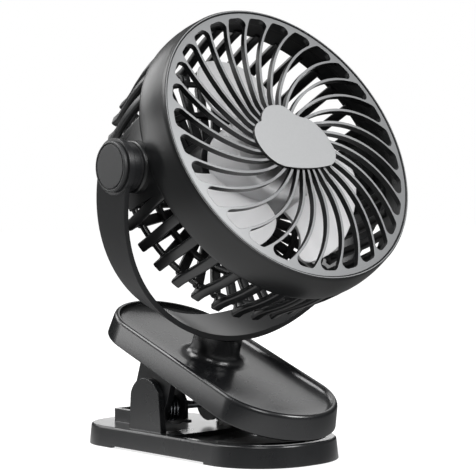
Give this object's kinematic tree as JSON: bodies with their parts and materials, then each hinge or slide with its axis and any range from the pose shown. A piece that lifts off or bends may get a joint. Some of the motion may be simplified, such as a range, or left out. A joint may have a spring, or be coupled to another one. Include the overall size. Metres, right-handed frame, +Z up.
{
  "type": "clip fan",
  "caption": "Clip-on desk fan: a round fan head tilts and swivels in a yoke on the upper jaw of a sprung clip that also stands on its own foot.",
  "frame": {"origin": "middle of the lower jaw's underside, on the face of the foot pad", "axes": "+Z up from the table, -Y the way the jaws open and the fan blows, X along the hinge pin and the tilt axle"},
  "size_m": [0.1762, 0.1723, 0.2209],
  "materials": {
    "body_plastic": "satin",
    "jaw_plastic": "semi-gloss",
    "cage_plastic": "satin",
    "yoke_plastic": "satin",
    "knob_plastic": "fine matt",
    "grille_coat": "silver grey satin",
    "badge_coat": "silver grey satin",
    "fan_plastic": "satin",
    "pad_rubber": "matt",
    "steel": "plain",
    "spring_steel": "dark wire",
    "bush_brass": "plain",
    "nylon": "plain",
    "cell_wrap": "shrink wrap",
    "board_green": "solder mask",
    "light_guide": "clear",
    "switch_black": "plain"
  },
  "bodies": {
    "base": {"base_shell": "jaw_plastic", "base_plate": "body_plastic", "base_screws": "steel", "foot_pad": "pad_rubber", "lower_grip_pad": "pad_rubber", "hinge_pin": "steel", "left_spring_drum": "nylon", "right_spring_drum": "nylon", "left_spring": "spring_steel", "right_spring": "spring_steel"},
    "upper_jaw": {"jaw_shell": "jaw_plastic", "jaw_underside": "body_plastic", "jaw_screws": "steel", "upper_grip_pad": "pad_rubber", "battery_cell": "cell_wrap", "charge_board": "board_green", "charge_port": "steel", "charge_light": "light_guide", "tact_switch": "switch_black"},
    "power_button": {"power_button": "knob_plastic"},
    "yoke": {"yoke": "yoke_plastic", "swivel_washer": "steel", "swivel_screw": "steel", "near_pivot_pin": "nylon", "near_pivot_clip": "spring_steel", "near_knob_cap": "knob_plastic", "far_pivot_pin": "nylon", "far_pivot_clip": "spring_steel", "far_knob_cap": "knob_plastic", "near_pivot_washer": "nylon", "far_pivot_washer": "nylon"},
    "head": {"rear_housing": "cage_plastic", "front_grille": "grille_coat", "centre_badge": "badge_coat", "motor_can": "steel", "motor_end_cap": "nylon", "motor_pod": "cage_plastic", "driver_board": "board_green", "pod_screws": "steel", "rear_hub_cap": "cage_plastic"},
    "rotor": {"impeller": "fan_plastic", "shaft_bush": "bush_brass", "motor_shaft": "steel"}
  },
  "joints": [
    {"name": "clip_open", "type": "hinge", "parent": "base", "child": "upper_jaw", "pos_m": [0, 0.0155, 0.0215], "axis": [-1, 0, 0], "range_deg": [0, 40], "stiffness_Nm_per_rad": 0.8, "springref_deg": -57.3, "deforming": ["left_spring", "right_spring"]},
    {"name": "button_press", "type": "slide", "parent": "upper_jaw", "child": "power_button", "axis": [-1, 0, 0], "range_m": [0, 0.0006], "stiffness_N_per_m": 500, "springref_m": -0.001},
    {"name": "yoke_swivel", "type": "hinge", "parent": "upper_jaw", "child": "yoke", "pos_m": [0, -0.00744, 0.06042], "axis": [0, -0.3453, 0.9385], "range_deg": [-180, 180]},
    {"name": "head_tilt", "type": "hinge", "parent": "yoke", "child": "head", "pos_m": [0, -0.03748, 0.14207], "axis": [-1, 0, 0], "range_deg": [-180, 180]},
    {"name": "fan_spin", "type": "hinge", "parent": "head", "child": "rotor", "pos_m": [0, -0.03748, 0.14207], "axis": [0, -0.9041, 0.4274], "continuous": true}
  ]
}
